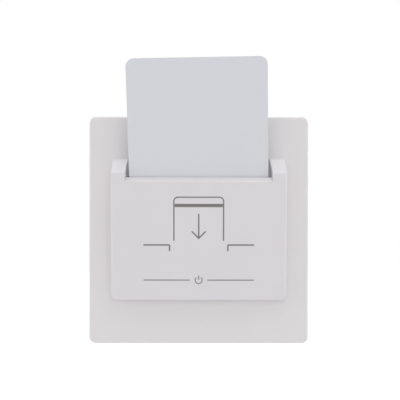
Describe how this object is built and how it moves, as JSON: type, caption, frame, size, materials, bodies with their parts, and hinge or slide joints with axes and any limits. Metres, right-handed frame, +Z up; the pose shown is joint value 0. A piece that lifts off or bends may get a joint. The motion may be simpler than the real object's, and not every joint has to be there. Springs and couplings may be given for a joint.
{
  "type": "hotel key card switch",
  "caption": "Wall switch that a hotel key card turns on: a flat plate with a raised card pocket, a lever and microswitch behind the slot, and a relay board in the rear housing.",
  "frame": {"origin": "middle of the two box screw holes, in the wall plane", "axes": "+X to the right as seen from the room, +Y into the wall, +Z up"},
  "size_m": [0.086, 0.0559, 0.111],
  "materials": {
    "plate_white": "fine moulded white",
    "pocket_white": "fine moulded white",
    "card_white": "satin laminated card",
    "guide_grey": "plain moulded",
    "frame_dark": "plain moulded",
    "housing_pale": "plain moulded",
    "screw_steel": "zinc plated",
    "spring_steel": "drawn wire",
    "lever_cream": "natural acetal",
    "switch_black": "plain moulded",
    "plunger_red": "plain moulded",
    "pin_tin": "tinned",
    "board_green": "solder mask",
    "part_black": "moulded",
    "dropper_yellow": "moulded box",
    "can_sleeve": "shrink sleeve",
    "varistor_blue": "dipped coating",
    "resistor_body": "flameproof coating",
    "block_grey": "plain moulded",
    "clamp_brass": "machined"
  },
  "bodies": {
    "switch": {"front_plate": "plate_white", "card_pocket": "pocket_white", "card_guide": "guide_grey", "mounting_frame": "frame_dark", "rear_housing": "housing_pale", "pocket_screws": "screw_steel", "housing_screws": "screw_steel", "board_screws": "screw_steel", "lever_pin": "screw_steel", "terminal_screws": "screw_steel", "lever_spring": "spring_steel", "microswitch_case": "switch_black", "microswitch_pins": "pin_tin", "circuit_board": "board_green", "power_relay": "part_black", "fuse": "part_black", "bridge_rectifier": "part_black", "timer_chip": "part_black", "driver_transistor": "part_black", "dropper_capacitor": "dropper_yellow", "smoothing_capacitor": "can_sleeve", "varistor": "varistor_blue", "inrush_resistor": "resistor_body", "terminal_block": "block_grey", "terminal_clamps": "clamp_brass"},
    "key_card": {"key_card": "card_white"},
    "lever": {"actuator_lever": "lever_cream"},
    "plunger": {"microswitch_plunger": "plunger_red"}
  },
  "joints": [
    {"name": "card_slide", "type": "slide", "parent": "switch", "child": "key_card", "axis": [0, -0.2063, 0.9785], "range_m": [0, 0.05]},
    {"name": "lever_swing", "type": "hinge", "parent": "switch", "child": "lever", "pos_m": [0, 0.003, -0.002], "axis": [-1, 0, 0], "range_deg": [0, 20], "deforming": ["lever_spring"]},
    {"name": "plunger_press", "type": "slide", "parent": "switch", "child": "plunger", "axis": [0, -1, 0], "range_m": [0, 0.001]}
  ],
  "couplings": [
    {"joint": "lever_swing", "follows": "card_slide", "rad_per_m": 6.9},
    {"joint": "plunger_press", "follows": "card_slide", "ratio": 0.0198}
  ]
}
